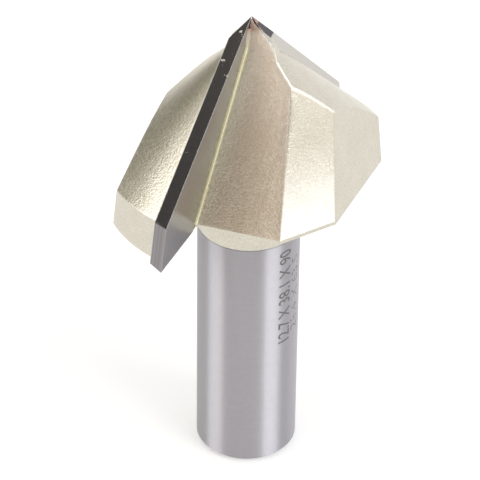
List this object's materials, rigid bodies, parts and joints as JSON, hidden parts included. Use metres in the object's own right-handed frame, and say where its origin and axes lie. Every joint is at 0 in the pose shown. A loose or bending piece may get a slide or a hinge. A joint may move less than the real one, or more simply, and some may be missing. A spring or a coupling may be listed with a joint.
{
  "type": "v groove router bit",
  "caption": "V groove router bit: straight shank, conical steel head cut by open gullets, and brazed carbide cutters that meet in a point.",
  "frame": {"origin": "centre of the flat end of the shank, on the axis; the bit stands on this face", "axes": "+Z along the axis, from the shank end to the cutting tip; the cutter nearer the picture's camera points to -113.7 degrees, counted from +X towards +Y"},
  "size_m": [0.0326, 0.033, 0.0635],
  "materials": {
    "coated_steel": "head blasted and coated champagne, shank ground bare",
    "carbide": "fine ground tungsten carbide, dark grey",
    "braze": "silver solder under the coating"
  },
  "bodies": {
    "root": {"steel_body": "coated_steel", "cutter_a": "carbide", "cutter_b": "carbide", "braze_a": "braze", "braze_b": "braze"}
  },
  "joints": []
}
